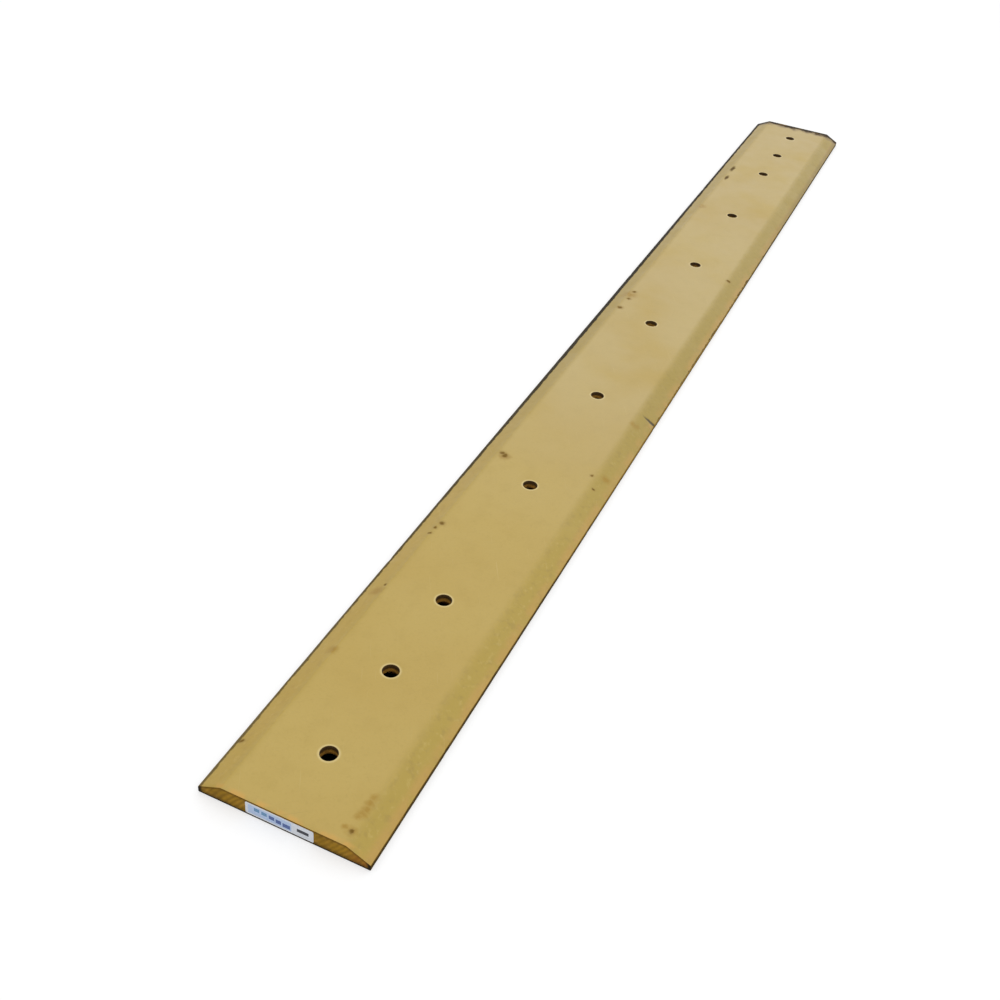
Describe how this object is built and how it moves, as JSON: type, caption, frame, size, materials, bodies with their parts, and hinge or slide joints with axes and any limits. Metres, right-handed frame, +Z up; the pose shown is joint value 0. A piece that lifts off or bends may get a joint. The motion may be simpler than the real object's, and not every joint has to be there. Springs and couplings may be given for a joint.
{
  "type": "loader cutting edge",
  "caption": "Straight bolt-on loader cutting edge: a rolled double-bevel steel flat, painted, with a row of bolt holes that have square tapered seats in the wear face.",
  "frame": {"origin": "middle of the wear face, on the surface that the bar lies on", "axes": "+X along the bar, away from the end with the label; +Y across it; +Z up through the mounting face"},
  "size_m": [2.6419, 0.2286, 0.0254],
  "materials": {
    "painted_steel": "ochre yellow spray enamel over rolled steel, dusty, chipped along the ridges, brown at the sawn ends",
    "label": "bluish white adhesive label with plain fields of ink and no words"
  },
  "bodies": {
    "root": {"cutting_edge": "painted_steel", "end_label": "label"}
  },
  "joints": []
}
